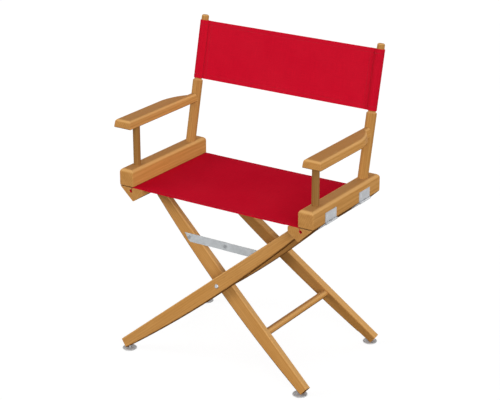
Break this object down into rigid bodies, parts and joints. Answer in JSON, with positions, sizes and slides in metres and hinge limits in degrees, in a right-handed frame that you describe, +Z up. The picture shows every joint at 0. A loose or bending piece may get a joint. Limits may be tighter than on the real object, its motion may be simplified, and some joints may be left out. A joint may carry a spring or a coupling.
{
  "type": "folding chair",
  "caption": "Folding director's chair: crossed wooden legs, hinged side frames with arm rests, and a sling canvas seat and back.",
  "frame": {"origin": "on the floor, under the middle of the leg frames", "axes": "+Z up; +Y to the back of the chair; +X to the right-hand side seen from the front"},
  "size_m": [0.6292, 0.4334, 0.8502],
  "materials": {
    "wood": "satin",
    "canvas": "matte",
    "zinc_steel": "satin",
    "glide_steel": "satin"
  },
  "bodies": {
    "leg_frame_a": {"right_hinge_rail": "wood", "front_leg_a": "wood", "rear_leg_a": "wood", "leg_dowels_a": "wood", "stretcher_a": "wood", "glide_front_a": "glide_steel", "glide_rear_a": "glide_steel", "right_lower_leaves": "zinc_steel", "right_lower_screws": "zinc_steel", "right_seat_rod": "wood", "front_pivot_rivet": "zinc_steel", "rear_pivot_rivet": "zinc_steel", "front_pivot_spacer": "zinc_steel", "rear_pivot_spacer": "zinc_steel", "seat_canvas": "canvas"},
    "leg_frame_b": {"left_hinge_rail": "wood", "front_leg_b": "wood", "rear_leg_b": "wood", "leg_dowels_b": "wood", "stretcher_b": "wood", "glide_front_b": "glide_steel", "glide_rear_b": "glide_steel", "left_lower_leaves": "zinc_steel", "left_lower_screws": "zinc_steel", "left_seat_rod": "wood", "brace_end_rivet": "zinc_steel"},
    "right_side": {"right_seat_rail": "wood", "right_front_post": "wood", "right_back_post": "wood", "right_arm": "wood", "right_arm_dowel": "wood", "right_upper_leaves": "zinc_steel", "right_upper_screws": "zinc_steel", "right_hinge_pins": "zinc_steel", "back_canvas": "canvas"},
    "left_side": {"left_seat_rail": "wood", "left_front_post": "wood", "left_back_post": "wood", "left_arm": "wood", "left_arm_dowel": "wood", "left_upper_leaves": "zinc_steel", "left_upper_screws": "zinc_steel", "left_hinge_pins": "zinc_steel"},
    "brace_left": {"brace_link_left": "zinc_steel", "brace_middle_rivet": "zinc_steel"},
    "brace_right": {"brace_link_right": "zinc_steel", "brace_end_pin": "zinc_steel"}
  },
  "joints": [
    {"name": "leg_pivot", "type": "hinge", "parent": "leg_frame_a", "child": "leg_frame_b", "pos_m": [0, 0, 0.235], "axis": [0, 1, 0], "range_deg": [0, 87], "deforming": ["seat_canvas", "back_canvas"]},
    {"name": "right_side_hinge", "type": "hinge", "parent": "leg_frame_a", "child": "right_side", "pos_m": [0.3008, -0.006, 0.46125], "axis": [0, 1, 0], "range_deg": [0, 43.5]},
    {"name": "left_side_hinge", "type": "hinge", "parent": "leg_frame_b", "child": "left_side", "pos_m": [-0.3008, -0.006, 0.46125], "axis": [0, -1, 0], "range_deg": [0, 43.5]},
    {"name": "brace_end_hinge", "type": "hinge", "parent": "leg_frame_b", "child": "brace_left", "pos_m": [-0.116, -0.11903, 0.33314], "axis": [0, -0.9816, 0.1908], "range_deg": [0, 124.76]},
    {"name": "brace_middle_hinge", "type": "hinge", "parent": "brace_left", "child": "brace_right", "pos_m": [0, -0.11903, 0.33314], "axis": [0, 0.9816, -0.1908], "range_deg": [0, 163.56]}
  ],
  "couplings": [
    {"joint": "right_side_hinge", "follows": "leg_pivot", "ratio": 0.5},
    {"joint": "left_side_hinge", "follows": "leg_pivot", "ratio": 0.5},
    {"joint": "brace_end_hinge", "follows": "leg_pivot", "ratio": 1.434},
    {"joint": "brace_middle_hinge", "follows": "leg_pivot", "ratio": 1.88}
  ]
}
